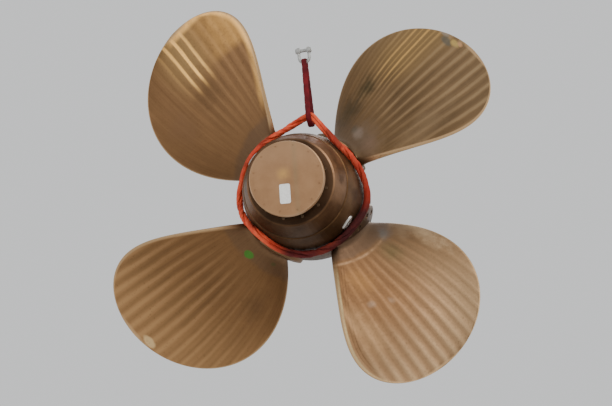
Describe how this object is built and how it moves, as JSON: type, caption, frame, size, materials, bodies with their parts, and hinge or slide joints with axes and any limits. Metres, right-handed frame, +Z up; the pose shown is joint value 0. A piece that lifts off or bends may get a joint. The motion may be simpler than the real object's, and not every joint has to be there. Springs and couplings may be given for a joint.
{
  "type": "controllable-pitch ship propeller",
  "caption": "Left-handed controllable-pitch ship propeller in bronze: broad skewed blades on round palms in a barrel hub, cap with end cover, lifting sling choked round the hub.",
  "frame": {"origin": "centre of the flange face at the forward end of the hub, on the shaft axis", "axes": "+Y forward along the shaft, out of the flange face; +Z up; +X to starboard, which is to the right when seen from aft"},
  "size_m": [3.1874, 1.5256, 3.1874],
  "materials": {
    "blade_bronze": "ground nickel-aluminium bronze with shallow ridges and a thin brown film",
    "hub_bronze": "cast and turned bronze, dark brown with age",
    "cap_bronze": "turned bronze, brown",
    "cover_bronze": "machined bronze, pale pinkish brown",
    "ring_bronze": "turned bronze, dark",
    "plug_steel": "stainless steel, worn bright",
    "flange_steel": "machined forged steel, dull",
    "sling_orange": "woven polyester sling, orange-red, grubby",
    "sling_red": "woven polyester sling, dark red in use",
    "shackle_zinc": "galvanised steel, dull pale grey"
  },
  "bodies": {
    "hub": {"hub_body": "hub_bronze", "port_ring_1": "ring_bronze", "port_ring_2": "ring_bronze", "port_ring_3": "ring_bronze", "port_ring_4": "ring_bronze", "hub_cap": "cap_bronze", "end_cover": "cover_bronze", "hub_plug_1": "plug_steel", "hub_plug_2": "plug_steel", "hub_plug_3": "plug_steel", "hub_plug_4": "plug_steel", "shaft_flange": "flange_steel", "sling_belt": "sling_orange", "sling_leg": "sling_red", "shackle_bow": "shackle_zinc", "shackle_pin": "shackle_zinc"},
    "blade_1": {"blade_1": "blade_bronze"},
    "blade_2": {"blade_2": "blade_bronze"},
    "blade_3": {"blade_3": "blade_bronze"},
    "blade_4": {"blade_4": "blade_bronze"}
  },
  "joints": [
    {"name": "blade_1_pitch", "type": "hinge", "parent": "hub", "child": "blade_1", "pos_m": [0, -0.6, 0], "axis": [0.6334, 0, 0.7738], "range_deg": [-4, 42]},
    {"name": "blade_2_pitch", "type": "hinge", "parent": "hub", "child": "blade_2", "pos_m": [0, -0.6, 0], "axis": [-0.7738, 0, 0.6334], "range_deg": [-4, 42]},
    {"name": "blade_3_pitch", "type": "hinge", "parent": "hub", "child": "blade_3", "pos_m": [0, -0.6, 0], "axis": [-0.6334, 0, -0.7738], "range_deg": [-4, 42]},
    {"name": "blade_4_pitch", "type": "hinge", "parent": "hub", "child": "blade_4", "pos_m": [0, -0.6, 0], "axis": [0.7738, 0, -0.6334], "range_deg": [-4, 42]}
  ],
  "couplings": [
    {"joint": "blade_2_pitch", "follows": "blade_1_pitch", "ratio": 1},
    {"joint": "blade_3_pitch", "follows": "blade_1_pitch", "ratio": 1},
    {"joint": "blade_4_pitch", "follows": "blade_1_pitch", "ratio": 1}
  ]
}
